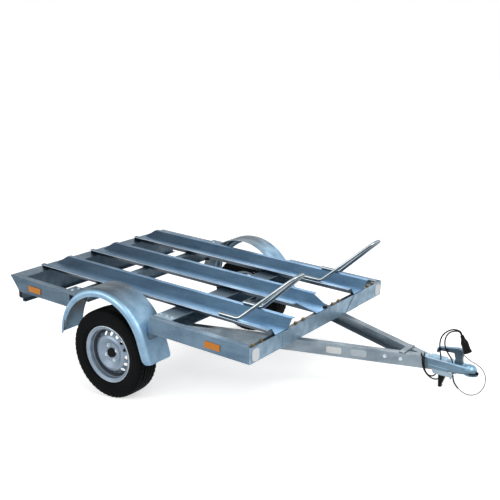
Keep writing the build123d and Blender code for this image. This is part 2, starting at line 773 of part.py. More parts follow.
def nose_trim():
    """Black rubber strip round the front of the head above the lip, with a nub at its tip."""
    inner = socket_outside + seat_gap
    base = socket_mouth + mouth_lip + seat_gap
    with BuildPart() as trim:
        with BuildSketch(Plane.YZ.offset(ball_centre)):
            with Locations((inner + trim_depth / 2, base + trim_height / 2)):
                Rectangle(trim_depth, trim_height)
        revolve(axis=Axis((ball_centre, 0, 0), (0, 0, -1)), revolution_arc=180)
        with BuildSketch(Plane.XY.offset(base)):
            with Locations((ball_centre + inner + trim_nub_radius, 0)):
                Circle(trim_nub_radius)
        extrude(amount=trim_nub_height)
    return trim.part


def coupling_bracket():
    """Trough below the housing: two side walls, a floor with the cables' openings, a cable hook, a pin."""
    half = coupling_width / 2
    inside = half - coupling_sheet
    rear = drawbar_front - bracket_behind
    front = drawbar_front + bracket_ahead
    floor_rear = rear + bracket_rear_slope
    floor_front = front - bracket_front_slope
    floor_end = wire_pin[0] - 4 * coupling_sheet
    hook = [(-13, 1), (-1, 1), (8, -9), (4, -23), (-6, -25), (-2, -13)]
    with BuildPart() as bracket:
        with BuildSketch(Plane.XZ):
            with BuildLine():
                Polyline((rear, bracket_top), (front, bracket_top), (floor_front, bracket_bottom),
                         (floor_rear, bracket_bottom), close=True)
            make_face()
        extrude(amount=half, both=True)
        with Locations(((rear + front) / 2, 0, bracket_bottom + coupling_sheet + far / 2)):
            Box(far, 2 * inside, far, mode=Mode.SUBTRACT)
        # the cables pass either side of the spine
        with BuildSketch(Plane.XY.offset(bracket_bottom - 1)):
            for sign in (1, -1):
                with Locations(((floor_rear + floor_end) / 2, sign * (inside + spine_half) / 2)):
                    Rectangle(floor_end - floor_rear - 2 * coupling_sheet, inside - spine_half)
        extrude(amount=2 * coupling_sheet, mode=Mode.SUBTRACT)
        # ahead of the floor the walls run on alone, with a pin that the breakaway wire is hooked to
        with Locations((floor_end + far / 2, 0, 0)):
            Box(far, 2 * inside, far, mode=Mode.SUBTRACT)
        with BuildSketch(Plane.XZ):
            with Locations(wire_pin):
                Circle(wire_pin_radius)
        extrude(amount=half - coupling_sheet / 2, both=True)
        with BuildSketch(Plane.XZ):
            with BuildLine():
                Polyline(*[(floor_end + x, bracket_bottom + z) for x, z in hook], close=True)
            make_face()
        extrude(amount=hook_width / 2, both=True)
    return bracket.part


def parking_foot():
    """Tapering foot under the bracket's floor, on which the nose stands when the trailer is parked."""
    top = bracket_bottom - seat_gap
    rear = foot_x - foot_tip_half
    with BuildPart() as foot:
        with BuildSketch(Plane.XZ):
            with BuildLine():
                Polyline((rear - foot_tip_half, top), (rear - foot_tip_half + foot_top_length, top),
                         (foot_x + foot_tip_half, foot_height + 2 * foot_tip_half),
                         (foot_x + foot_tip_half, foot_height), (rear, foot_height), close=True)
            make_face()
        extrude(amount=foot_width / 2, both=True)
    return foot.part


# ---------------------------------------------------------------- cables

def arc_radii(points):
    """Tangent arc at each inner point: 0.45 of the shorter run over the tangent of half the turn."""
    radii = []
    for before, here, after in zip(points, points[1:], points[2:]):
        first = Vector(here) - Vector(before)
        second = Vector(after) - Vector(here)
        turn = math.radians(first.get_angle(second))
        radii.append(0.45 * min(first.length, second.length) / math.tan(turn / 2))
    return radii


def cord(name, points, diameter):
    """Round tube along straight runs joined by tangent arcs."""
    radii = arc_radii(points)
    with BuildPart() as tube:
        with BuildLine() as route:
            FilletPolyline(*points, radius=radii)
        start = Vector(points[1]) - Vector(points[0])
        with BuildSketch(Plane(origin=points[0], z_dir=start)):
            Circle(diameter / 2)
        sweep(path=route.wires()[0])
    length = route.wires()[0].length
    print(f"{name}: length {length:.1f}, volume over section times length "
          f"{tube.part.volume / (math.pi * diameter ** 2 / 4 * length):.5f}, radii",
          " ".join(f"{radius:.0f}" for radius in radii))
    return tube.part


cable_a = [(1736, -10, 511), (1752, -34, 515), (1762, -48, 500), (1766, -50, 472), (1774, -48, 439),
           (1792, -43, 409), (1819, -33, 386), (1848, -26, 381), (1873, -22, 398), (1888, -20, 426),
           (1886, -20, 456), (1872, -18, 478), (1861, -16, 498), (1861, -16, 524), (1851, -18.5, 567),
           (1846, -18.5, 604), (1851, -17, 644), (1874, -14, 679), (1908, -11, 702), (1940, -9, 706),
           (1960, -8.6, 699)]
cable_b = [(1752, 4, 511), (1760, -20, 514), (1770, -44, 512), (1776, -54, 492), (1779, -55, 460),
           (1789, -53, 427), (1808, -48, 405), (1829, -37, 400), (1843, -25, 412), (1849, -21, 432),
           (1858, -11, 451), (1878, -6, 466), (1906, -8, 470), (1929, -16, 482), (1935, -19, 504),
           (1929, -20, 529), (1907, -21, 552), (1886, -21, 580), (1876, -21, 614), (1878, -20, 650),
           (1894, -19, 680), (1919, -18, 696), (1944, -17.6, 703), (1960, -17.4, 699)]
breakaway_wire = [(1941.5, -12.5, 431.7), (1951, -28, 408), (1982, -52, 389), (2028, -80, 377),
                  (2082, -98, 378), (2130, -98, 402), (2156, -84, 448), (2150, -60, 494),
                  (2120, -36, 524), (2079, -16, 535), (2038, -6, 540), (2010, -2, 552),
                  (1987.1, 0, 564)]
plug_axis = Vector(46, 0, -93).normalized()
plug_top = Vector(1969, -13, 682)
for route, side in ((cable_a, 4.3), (cable_b, -4.3)):
    route.append(tuple(plug_top + Vector(0, side, 0) - plug_axis * seat_gap))


def cable_plug():
    """Trailer plug hanging from the two cables: boot, shoulder, body and collar."""
    neck = Plane(origin=plug_top, z_dir=plug_axis)
    steps = ((0, plug_boot_radius, plug_boot_length, plug_neck_radius),
             (plug_boot_length, plug_neck_radius, plug_shoulder, plug_radius))
    body_start = plug_boot_length + plug_shoulder
    with BuildPart() as plug:
        for offset, start_radius, length, end_radius in steps:
            with BuildSketch(neck.offset(offset)):
                Circle(start_radius)
            with BuildSketch(neck.offset(offset + length)):
                Circle(end_radius)
            loft()
        with BuildSketch(neck.offset(body_start)):
            Circle(plug_radius)
        extrude(amount=plug_length)
        with BuildSketch(neck.offset(body_start + plug_length - plug_collar)):
            Circle(plug_radius + plug_collar_proud)
        extrude(amount=plug_collar)
    return plug.part


# ---------------------------------------------------------------- lamps and reflectors

def blocks(size_x, size_y, size_z, places):
    """The same flat block at several places."""
    with BuildPart() as group:
        with Locations(*places):
            Box(size_x, size_y, size_z)
    return group.part


lamp_panel_x = bed_rear + beam_top_flange - sheet
lamp_x = lamp_panel_x - seat_gap - lamp_depth / 2
lens_x = lamp_panel_x - 2 * seat_gap - lamp_depth - lens_thickness / 2
lamp_places = [(sign * (half_width - lamp_inset), frame_top - lamp_below_top) for sign in (1, -1)]
side_y = half_width + seat_gap + reflector_thickness / 2
front_x = bed_front + seat_gap + reflector_thickness / 2

pieces = {}
for label, sign in (("left", 1), ("right", -1)):
    pieces[f"side_member_front_{label}"] = side_member(sign, True)
    pieces[f"side_member_rear_{label}"] = side_member(sign, False)
    pieces[f"drawbar_{label}"] = drawbar_arm(sign)
    pieces[f"trailing_arm_{label}"] = trailing_arm(sign)
    pieces[f"hub_{label}"] = hub(sign)
    pieces[f"rim_{label}"] = rim(sign)
    pieces[f"tyre_{label}"] = tyre(sign)
    pieces[f"mudguard_{label}"] = mudguard(sign)
    pieces[f"rail_{label}"] = rail(sign * rail_pitch)
    pieces[f"wheel_hoop_{label}"] = wheel_hoop(sign * rail_pitch)
pieces["rail_centre"] = rail(0, centre_rail_front_taper)
pieces["rail_stops"] = rail_stops()
pieces["front_cross_member"] = front_cross()
between_flanges = half_width - side_flange - seat_gap
pieces["mid_cross_member_front"] = mid_cross(
    front_mid_cross_rear, mid_front_top_flange, mid_front_bottom_flange, between_flanges, between_flanges)
pieces["mid_cross_member_rear"] = mid_cross(
    rear_mid_cross_rear, mid_rear_top_flange, mid_rear_bottom_flange, half_width, guard_inner_edge - seat_gap)
pieces["rear_beam"] = rear_beam()
pieces["drawbar_gussets"] = gussets()
pieces["drawbar_tie"] = drawbar_tie()
pieces["axle_beam"] = axle_beam()
pieces["mudguard_brackets"] = guard_plates()
pieces["coupling_body"] = coupling_body()
pieces["coupling_handle"] = coupling_handle()
pieces["coupling_nose_trim"] = nose_trim()
pieces["coupling_bracket"] = coupling_bracket()
pieces["parking_foot"] = parking_foot()
pieces["lamp_housings"] = blocks(lamp_depth, lamp_length, lamp_height,
                                 [(lamp_x, *place) for place in lamp_places])
pieces["rear_lenses"] = blocks(lens_thickness, lamp_length - 2 * lens_border, lamp_height - 2 * lens_border,
                               [(lens_x, *place) for place in lamp_places])
pieces["side_reflectors"] = blocks(side_reflector[0], reflector_thickness, side_reflector[1], [
    (x, sign * side_y, frame_top - side_reflector_below_top) for sign in (1, -1)
    for x in (bed_rear + side_reflector_rear, bed_front - side_reflector_front)])
pieces["front_reflectors"] = blocks(reflector_thickness, *front_reflector, [
    (front_x, sign * (half_width - front_reflector_inset), frame_top - front_reflector_below_top)
    for sign in (1, -1)])
cords = {
    "cable_a": cord("cable_a", cable_a, cable_diameter),
    "cable_b": cord("cable_b", cable_b, cable_diameter),
    "breakaway_wire": cord("breakaway_wire", breakaway_wire, wire_diameter),
    "plug": cable_plug(),
}

# Parked: turned about the wheel axis until the foot's tip stands on the ground.
tip_x = foot_x + foot_tip_half
tip_rise = foot_height - tyre_radius
park_angle = math.asin(tyre_radius / math.hypot(tip_x, tip_rise)) + math.atan2(tip_rise, tip_x)
turned = Plane(origin=(0, 0, tyre_radius), x_dir=(math.cos(park_angle), 0, -math.sin(park_angle)),
               z_dir=(math.sin(park_angle), 0, math.cos(park_angle)))
parked = turned.location * Location((0, 0, -tyre_radius))
placed = {name: parked * piece for name, piece in pieces.items()}
boxes = [piece.bounding_box() for piece in placed.values()]
placed.update({name: parked * piece for name, piece in cords.items()})
shift = -(min(box.min.X for box in boxes) + max(box.max.X for box in boxes)) / 2

os.makedirs("parts", exist_ok=True)
for name, piece in placed.items():
    piece = Location((shift, 0, 0)) * piece
    piece.label = name
    export_step(piece, f"parts/{name}.step")
print(f"park angle {math.degrees(park_angle):.4f} degrees, shift {shift:.4f}, "
      f"lowest {min(box.min.Z for box in boxes):.4f}")
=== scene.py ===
import bpy, json, math
import numpy as np
from mathutils import Matrix, Vector


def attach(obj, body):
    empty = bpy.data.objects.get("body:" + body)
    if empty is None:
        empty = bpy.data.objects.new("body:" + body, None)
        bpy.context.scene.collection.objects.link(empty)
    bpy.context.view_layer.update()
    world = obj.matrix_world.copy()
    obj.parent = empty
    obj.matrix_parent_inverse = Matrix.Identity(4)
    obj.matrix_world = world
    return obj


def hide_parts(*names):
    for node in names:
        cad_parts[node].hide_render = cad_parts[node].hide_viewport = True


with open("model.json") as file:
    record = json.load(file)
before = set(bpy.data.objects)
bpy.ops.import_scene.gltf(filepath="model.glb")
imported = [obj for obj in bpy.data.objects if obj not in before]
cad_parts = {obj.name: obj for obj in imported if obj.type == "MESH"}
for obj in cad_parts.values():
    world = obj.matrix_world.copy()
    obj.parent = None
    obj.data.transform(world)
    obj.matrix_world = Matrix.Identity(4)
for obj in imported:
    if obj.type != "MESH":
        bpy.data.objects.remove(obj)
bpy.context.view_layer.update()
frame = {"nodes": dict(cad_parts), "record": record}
print("frame loaded")

# The trailer stands nose down on its foot. Sizes below are given as on the level trailer: millimetres
# ahead of the wheel axle, left of the centre plane and above the ground. fromLevel turns them about the
# axle by the angle of the rail floors and moves them to the part's own origin.
mounts = {m["name"]: m for m in frame["record"]["mounts"]}
joints = {j["name"]: j for j in frame["record"]["behaviour"]["joints"]}
floorNormal = mounts["rail_floor_centre"]["axis"]
parkAngle = math.atan2(floorNormal[0], floorNormal[2])
axle = joints["wheel_left_spin"]["pos_m"]
axleHeight = axle[2]


def turnLevel(directions):  # the same directions on the parked trailer
    d = np.asarray(directions, float)
    c, s = math.cos(parkAngle), math.sin(parkAngle)
    return np.stack([d[..., 0] * c + d[..., 2] * s, d[..., 1], d[..., 2] * c - d[..., 0] * s], -1)


def fromLevel(points):  # level millimetres to metres on the parked trailer
    p = np.asarray(points, float) / 1000 - np.array([0, 0, axleHeight])
    return turnLevel(p) + np.array([axle[0], 0, axleHeight])


def toLevel(points):  # metres on the parked trailer back to level millimetres
    d = np.asarray(points, float) - np.array([axle[0], 0, axleHeight])
    c, s = math.cos(parkAngle), math.sin(parkAngle)
    ahead, up = d[..., 0] * c - d[..., 2] * s, d[..., 0] * s + d[..., 2] * c
    return 1000 * np.stack([ahead, d[..., 1], up + axleHeight], -1)


shot = {"azimuth": 34.50, "elevation": 17.85, "roll": 2.017, "place": (3605.75, -4427.43, 2493.96),
        "lens": 63.07, "shift": (-0.01653, 0.04013), "farClip": 200}


def setCamera():
    # the view direction from azimuth and elevation, then the roll about it
    a, e, r = (math.radians(shot[k]) for k in ("azimuth", "elevation", "roll"))
    look = -np.array([math.sin(a) * math.cos(e), -math.cos(a) * math.cos(e), math.sin(e)])
    side = np.cross(look, [0, 0, 1])
    side /= np.linalg.norm(side)
    up = np.cross(side, look)
    axes = turnLevel([side * math.cos(r) + up * math.sin(r), up * math.cos(r) - side * math.sin(r), -look])
    camera = bpy.data.objects.new("camera", bpy.data.cameras.new("camera"))
    bpy.context.collection.objects.link(camera)
    pose = np.eye(4)
    pose[:3, :3] = axes.T
    pose[:3, 3] = fromLevel(shot["place"])
    camera.matrix_world = Matrix(pose)
    camera.data.lens = shot["lens"]
    camera.data.shift_x, camera.data.shift_y = shot["shift"]
    camera.data.clip_end = shot["farClip"]
    bpy.context.scene.camera = camera


setCamera()
bpy.context.scene.view_settings.view_transform = "Standard"
print("camera set")


def newGroup(name, inputs, outputs):
    group = bpy.data.node_groups.new(name, "ShaderNodeTree")
    for label, value in inputs.items():
        kind = "NodeSocketColor" if isinstance(value, tuple) else "NodeSocketFloat"
        socket = group.interface.new_socket(label, in_out="INPUT", socket_type=kind)
        socket.default_value = (*value, 1) if isinstance(value, tuple) else value
    for label, kind in outputs.items():
        group.interface.new_socket(label, in_out="OUTPUT", socket_type=kind)
    return group, group.nodes.new("NodeGroupInput"), group.nodes.new("NodeGroupOutput")


def addNode(tree, kind, settings=None, **links):
    # A node with its properties set; a keyword links an output to that input or sets its value.
    node = tree.nodes.new(kind)
    for key, value in (settings or {}).items():
        setattr(node, key, value)
    for label, value in links.items():
        key = label.replace("_", " ")
        socket = node.inputs[int(key[1:])] if key[0] == "i" and key[1:].isdigit() else node.inputs[key]
        if isinstance(value, bpy.types.NodeSocket):
            tree.links.new(value, socket)
        else:
            socket.default_value = value
    return node


def mathResult(tree, operation, first, second):
    # one Math node, and what it puts out
    return addNode(tree, "ShaderNodeMath", {"operation": operation}, i0=first, i1=second).outputs[0]


def spangleGroup():
    # Zinc spangle: small cells of slightly different grey, with clouds and lengthwise streaks over them.
    group, gin, gout = newGroup(
        "zincSpangle",
        {"Cell Size": 90.0, "Cell Contrast": 0.12, "Cloud": 0.2,
         "Light": (0.6, 0.66, 0.7), "Dark": (0.4, 0.46, 0.52)},
        {"Color": "NodeSocketColor", "Roughness": "NodeSocketFloat", "Height": "NodeSocketFloat"})
    here = addNode(group, "ShaderNodeTexCoord").outputs["Object"]
    cells = addNode(group, "ShaderNodeTexVoronoi", Vector=here, Scale=gin.outputs["Cell Size"])
    tone = addNode(group, "ShaderNodeSeparateColor", Color=cells.outputs["Color"])
    cloud = addNode(group, "ShaderNodeTexNoise", Vector=here, Scale=5.0, Detail=5.0, Roughness=0.6)
    stretch = addNode(group, "ShaderNodeMapping", Vector=here, Scale=(1.2, 9.0, 9.0))
    streaks = addNode(group, "ShaderNodeTexNoise", Vector=stretch.outputs["Vector"], Scale=2.0, Detail=4.0)
    cellPart = mathResult(group, "MULTIPLY", tone.outputs["Red"], gin.outputs["Cell Contrast"])
    both = mathResult(group, "ADD", cloud.outputs["Fac"], streaks.outputs["Fac"])
    spread = addNode(group, "ShaderNodeMapRange", Value=both, From_Min=0.8, From_Max=1.25)
    cloudPart = mathResult(group, "MULTIPLY", spread.outputs[0], gin.outputs["Cloud"])
    total = mathResult(group, "ADD", cellPart, cloudPart)
    mix = addNode(group, "ShaderNodeMix", {"data_type": "RGBA"}, Factor=total)
    group.links.new(gin.outputs["Light"], mix.inputs["A"])
    group.links.new(gin.outputs["Dark"], mix.inputs["B"])
    rough = addNode(group, "ShaderNodeMapRange", Value=total, From_Max=0.6, To_Min=0.30, To_Max=0.48)
    group.links.new(mix.outputs["Result"], gout.inputs["Color"])
    group.links.new(rough.outputs[0], gout.inputs["Roughness"])
    group.links.new(cells.outputs["Distance"], gout.inputs["Height"])
    return group


def grimeGroup():
    # Dust in cloudy patches over a base colour.
    group, gin, gout = newGroup(
        "roadGrime", {"Base": (0.5, 0.5, 0.5), "Dust": (0.3, 0.29, 0.27), "Amount": 0.3, "Scale": 14.0},
        {"Color": "NodeSocketColor", "Mask": "NodeSocketFloat"})
    here = addNode(group, "ShaderNodeTexCoord").outputs["Object"]
    noise = addNode(group, "ShaderNodeTexNoise", Vector=here, Scale=gin.outputs["Scale"], Detail=6.0,
                    Roughness=0.65)
    mask = addNode(group, "ShaderNodeMapRange", Value=noise.outputs["Fac"], From_Min=0.45, From_Max=0.75)
    amount = mathResult(group, "MULTIPLY", mask.outputs[0], gin.outputs["Amount"])
    mix = addNode(group, "ShaderNodeMix", {"data_type": "RGBA"}, Factor=amount)
    group.links.new(gin.outputs["Base"], mix.inputs["A"])
    group.links.new(gin.outputs["Dust"], mix.inputs["B"])
    group.links.new(mix.outputs["Result"], gout.inputs["Color"])
    group.links.new(amount, gout.inputs["Mask"])
    return group


def paintedShadeGroup():
    # Painted shade and highlight: sheet is made darker or lighter by the way it faces, one value each for
    # surfaces that face down, sideways, half up and up, blended by the height part of the surface's own
    # direction. It also changes evenly from a value at the bed's rear end to one at its front, a painted
    # light that grows towards the front.
    group, gin, gout = newGroup(
        "facingTone", {"Under": 0.4, "Side": 1.0, "Slope": 1.0, "Top": 1.0, "Rear": 1.0, "Front": 1.0},
        {"Value": "NodeSocketFloat"})
    place = addNode(group, "ShaderNodeTexCoord")
    up = addNode(group, "ShaderNodeSeparateXYZ", Vector=place.outputs["Normal"]).outputs["Z"]
    low = addNode(group, "ShaderNodeMapRange", Value=up, From_Min=-0.6, From_Max=0.0,
                  To_Min=gin.outputs["Under"], To_Max=gin.outputs["Side"])
    high = addNode(group, "ShaderNodeMapRange", Value=up, From_Min=0.4, From_Max=0.95,
                   To_Min=gin.outputs["Slope"], To_Max=gin.outputs["Top"])
    both = addNode(group, "ShaderNodeMapRange", Value=up, From_Min=0.05, From_Max=0.35,
                   To_Min=low.outputs[0], To_Max=high.outputs[0])
    ahead = addNode(group, "ShaderNodeSeparateXYZ", Vector=place.outputs["Object"]).outputs["X"]
    run = addNode(group, "ShaderNodeMapRange", Value=ahead, From_Min=-1.3, From_Max=0.45,
                  To_Min=gin.outputs["Rear"], To_Max=gin.outputs["Front"])
    group.links.new(mathResult(group, "MULTIPLY", both.outputs[0], run.outputs[0]), gout.inputs["Value"])
    return group


facingTone = paintedShadeGroup()
zincSpangle = spangleGroup()
roadGrime = grimeGroup()


def newMaterial(name, **sockets):
    material = bpy.data.materials.new(name)
    material.use_nodes = True
    shader = material.node_tree.nodes["Principled BSDF"]
    for label, value in sockets.items():
        shader.inputs[label.replace("_", " ")].default_value = value
    return material, material.node_tree, shader


def galvanised(name, light, dark, metallic, cells=80.0, contrast=0.16, cloud=0.5, bump=0.12, facing=None,
               ends=(1.0, 1.0)):
    # Hot-dip zinc on folded sheet; facing factors add painted shade and highlight to its colour.
    material, tree, shader = newMaterial(name, Metallic=metallic)
    zinc = addNode(tree, "ShaderNodeGroup", {"node_tree": zincSpangle}, Cell_Size=cells,
                   Cell_Contrast=contrast, Cloud=cloud, Light=(*light, 1), Dark=(*dark, 1))
    bumpNode = addNode(tree, "ShaderNodeBump", Height=zinc.outputs["Height"], Strength=bump, Distance=0.0006)
    colour = zinc.outputs["Color"]
    if facing:
        # painted shade and highlight, multiplied into the zinc colour
        tone = addNode(tree, "ShaderNodeGroup", {"node_tree": facingTone}, Under=facing[0], Side=facing[1],
                       Slope=facing[2], Top=facing[3], Rear=ends[0], Front=ends[1]).outputs[0]
        shade = addNode(tree, "ShaderNodeCombineColor", Red=tone, Green=tone, Blue=tone)
        product = addNode(tree, "ShaderNodeMix", {"data_type": "RGBA", "blend_type": "MULTIPLY"}, Factor=1.0)
        tree.links.new(colour, product.inputs["A"])
        tree.links.new(shade.outputs["Color"], product.inputs["B"])
        colour = product.outputs["Result"]
    tree.links.new(colour, shader.inputs["Base Color"])
    tree.links.new(zinc.outputs["Roughness"], shader.inputs["Roughness"])
    tree.links.new(bumpNode.outputs["Normal"], shader.inputs["Normal"])
    return material


def plainFinish(name, colour, dust, roughness, metallic=0.0, amount=0.4, scale=20.0, grain=0.0, coat=0.0,
                gloss=0.5):
    # Plastic, rubber or paint with a little dust and a fine grain.
    material, tree, shader = newMaterial(name, Roughness=roughness, Metallic=metallic, Coat_Weight=coat,
                                         Specular_IOR_Level=gloss)
    grime = addNode(tree, "ShaderNodeGroup", {"node_tree": roadGrime}, Base=(*colour, 1), Dust=(*dust, 1),
                    Amount=amount, Scale=scale)
    tree.links.new(grime.outputs["Color"], shader.inputs["Base Color"])
    if grain:
        place = addNode(tree, "ShaderNodeTexCoord")
        noise = addNode(tree, "ShaderNodeTexNoise", Vector=place.outputs["Object"], Scale=900.0, Detail=2.0)
        bump = addNode(tree, "ShaderNodeBump", Height=noise.outputs["Fac"], Strength=grain, Distance=0.0004)
        tree.links.new(bump.outputs["Normal"], shader.inputs["Normal"])
    return material


# Each kind of member has its own two zinc colours: partly the zinc's own tone, darker or bluer from sheet to
# sheet, and partly painted light, as members are made darker or lighter for the shade and reflections on
# them.
# The facing factors, for under, side, slope and top, and the end factors, for the rear and the front, are
# painted shade and highlight.
zincTones = {
    "rail": {"light": (0.112, 0.222, 0.345), "dark": (0.055, 0.130, 0.228),
             "metallic": 0.6, "cells": 70.0, "cloud": 0.8, "facing": (0.30, 0.22, 0.24, 1.30),
             "ends": (0.55, 1.5)},
    "side": {"light": (0.145, 0.230, 0.310), "dark": (0.075, 0.135, 0.200),
             "metallic": 0.55, "cells": 80.0, "cloud": 0.8, "facing": (0.4, 1.0, 1.0, 1.0),
             "ends": (0.75, 1.12)},
    # cross: painted shade, a nearly black top flange beside a bright web
    "cross": {"light": (0.215, 0.310, 0.395), "dark": (0.110, 0.180, 0.245),
              "metallic": 0.55, "cells": 80.0, "cloud": 0.8, "facing": (0.3, 1.80, 1.0, 0.22)},
    "drawbar": {"light": (0.285, 0.345, 0.395), "dark": (0.150, 0.200, 0.245),
                "metallic": 0.6, "cells": 60.0, "cloud": 0.8, "facing": (0.2, 1.05, 1.0, 0.8)},
    # guard: painted shade, a dark crown and inside beside bright sides
    "guard": {"light": (0.150, 0.235, 0.310), "dark": (0.080, 0.140, 0.210),
              "metallic": 0.75, "cells": 45.0, "cloud": 0.6, "facing": (0.15, 1.75, 3.0, 0.42)},
    # hoop: painted reflection, bright where the tube faces half up and near black on its sides and top
    "hoop": {"light": (0.760, 0.850, 0.900), "dark": (0.360, 0.460, 0.530),
             "metallic": 0.95, "cells": 140.0, "cloud": 0.6, "facing": (0.5, 0.02, 1.1, 0.12)},
    "coupling": {"light": (0.270, 0.430, 0.560), "dark": (0.110, 0.200, 0.285),
                 "metallic": 0.7, "cells": 160.0, "cloud": 0.8, "facing": (0.2, 0.60, 1.5, 1.3)},
    "lever": {"light": (0.110, 0.180, 0.250), "dark": (0.040, 0.075, 0.115),
              "metallic": 0.7, "cells": 160.0, "cloud": 0.8, "facing": (0.3, 0.55, 1.8, 1.9)},
    # edge: bright zinc; on the beads along hems, folds and rolled edges it is a painted highlight
    "edge": {"light": (0.700, 0.790, 0.850), "dark": (0.440, 0.540, 0.620),
             "metallic": 0.65, "cells": 160.0, "cloud": 0.5},
    "bracket": {"light": (0.330, 0.420, 0.490), "dark": (0.170, 0.240, 0.300),
                "metallic": 0.7, "cells": 120.0, "cloud": 0.7},
    "middle": {"light": (0.300, 0.400, 0.480), "dark": (0.170, 0.245, 0.315),
               "metallic": 0.55, "cells": 60.0, "cloud": 0.8, "facing": (0.5, 1.2, 1.3, 1.3)},
}
zinc = {name: galvanised(name + "Zinc", **tone) for name, tone in zincTones.items()}
toneNodes = {
    "rail": ("rail_left", "rail_centre", "rail_right"),
    "cross": ("front_cross_member", "drawbar_gussets"),
    "drawbar": ("drawbar_left", "drawbar_right", "drawbar_tie"),
    "guard": ("mudguard_left", "mudguard_right"),
    "side": ("mudguard_brackets",),
    "hoop": ("wheel_hoop_left", "wheel_hoop_right"),
    "coupling": ("coupling_body",),
    "bracket": ("coupling_bracket",),
    "lever": ("coupling_handle",),
    "middle": ("axle_beam", "mid_cross_member_front", "mid_cross_member_rear", "trailing_arm_left",
               "trailing_arm_right"),
}
toneOf = {node: tone for tone, nodes in toneNodes.items() for node in nodes}

# well is the near black of the painted shade in the rim's well
wheelFinish = {"light": (0.300, 0.375, 0.460), "dark": (0.150, 0.210, 0.280), "well": (0.010, 0.016, 0.026),
               "wellRadii": (0.139, 0.144, 0.154, 0.160)}


def wheelPaint():
    # silver paint, with painted shade in the rim's well: near black, coming in and going out over four radii
    material, tree, shader = newMaterial("wheelPaint", Metallic=0.55)
    paint = addNode(tree, "ShaderNodeGroup", {"node_tree": zincSpangle}, Cell_Size=300.0, Cell_Contrast=0.06,
                    Cloud=0.5, Light=(*wheelFinish["light"], 1), Dark=(*wheelFinish["dark"], 1))
    place = addNode(tree, "ShaderNodeTexCoord")
    centred = addNode(tree, "ShaderNodeVectorMath", {"operation": "SUBTRACT"}, i0=place.outputs["Object"],
                      i1=(axle[0], 0, axleHeight))
    flat = addNode(tree, "ShaderNodeVectorMath", {"operation": "MULTIPLY"}, i0=centred.outputs["Vector"],
                   i1=(1, 0, 1))
    radius = addNode(tree, "ShaderNodeVectorMath", {"operation": "LENGTH"}, i0=flat.outputs["Vector"])
    r = wheelFinish["wellRadii"]
    rise = addNode(tree, "ShaderNodeMapRange", Value=radius.outputs["Value"], From_Min=r[0], From_Max=r[1])
    fall = addNode(tree, "ShaderNodeMapRange", Value=radius.outputs["Value"], From_Min=r[2], From_Max=r[3],
                   To_Min=1.0, To_Max=0.0)
    ring = mathResult(tree, "MULTIPLY", rise.outputs[0], fall.outputs[0])
    mix = addNode(tree, "ShaderNodeMix", {"data_type": "RGBA"}, Factor=ring)
    tree.links.new(paint.outputs["Color"], mix.inputs["A"])
    mix.inputs["B"].default_value = (*wheelFinish["well"], 1)
    tree.links.new(mix.outputs["Result"], shader.inputs["Base Color"])
    tree.links.new(paint.outputs["Roughness"], shader.inputs["Roughness"])
    return material


def prismLens(name, colour, dust, pitch=0.005, depth=0.3):
    # moulded reflector: crossed ribs give the bump of its small prisms
    material = plainFinish(name, colour, dust, 0.25, amount=0.12, coat=0.15, gloss=0.3)
    tree, shader = material.node_tree, material.node_tree.nodes["Principled BSDF"]
    place = addNode(tree, "ShaderNodeTexCoord")
    ribs = [addNode(tree, "ShaderNodeTexWave", {"bands_direction": d}, Vector=place.outputs["Object"],
                    Scale=0.05 / pitch) for d in ("X", "Z")]
    both = mathResult(tree, "ADD", ribs[0].outputs["Fac"], ribs[1].outputs["Fac"])
    bump = addNode(tree, "ShaderNodeBump", Height=both, Strength=depth, Distance=0.0005)
    tree.links.new(bump.outputs["Normal"], shader.inputs["Normal"])
    return material


finishes = {
    "galvanised": zinc["side"],
    "wheel_steel": wheelPaint(),
    "zinc": zinc["coupling"],
    "hub": plainFinish("hubIron", (0.004, 0.0045, 0.005), (0.010, 0.010, 0.010), 0.6, 0.1, gloss=0.1),
    "black": plainFinish("blackPlastic", (0.003, 0.003, 0.0035), (0.010, 0.010, 0.010), 0.42, grain=0.2,
                         gloss=0.12),
    "tyre": plainFinish("tyreRubber", (0.0025, 0.003, 0.0036), (0.008, 0.008, 0.008), 0.6, amount=0.5,
                        scale=12.0, grain=0.4, gloss=0.05),
    "amber": prismLens("amberLens", (0.62, 0.20, 0.002), (0.5, 0.22, 0.02)),
    "red_lens": prismLens("redLens", (0.45, 0.01, 0.01), (0.3, 0.05, 0.05)),
    "white_reflector": prismLens("whiteReflector", (0.74, 0.78, 0.80), (0.5, 0.5, 0.5)),
    "wire": galvanised("steelWire", (0.10, 0.105, 0.11), (0.04, 0.042, 0.045), 0.5, cells=900.0),
}
yellowZinc = galvanised("yellowZinc", (0.20, 0.155, 0.075), (0.09, 0.07, 0.035), 0.6, cells=200.0)
blankLabel = plainFinish("blankLabel", (0.72, 0.74, 0.75), (0.45, 0.46, 0.47), 0.35, amount=0.25)
blankPlate = plainFinish("blankPlate", (0.40, 0.46, 0.50), (0.25, 0.28, 0.30), 0.35, 0.4, amount=0.5,
                         scale=60.0)
slots = {part["node"]: part["material_slot"] for part in frame["record"]["subparts"]}
for name, node in frame["nodes"].items():
    node.data.materials.clear()
    node.data.materials.append(zinc[toneOf[name]] if name in toneOf else finishes[slots[name]])
print("frame finished in", len(finishes) + len(zinc), "materials")


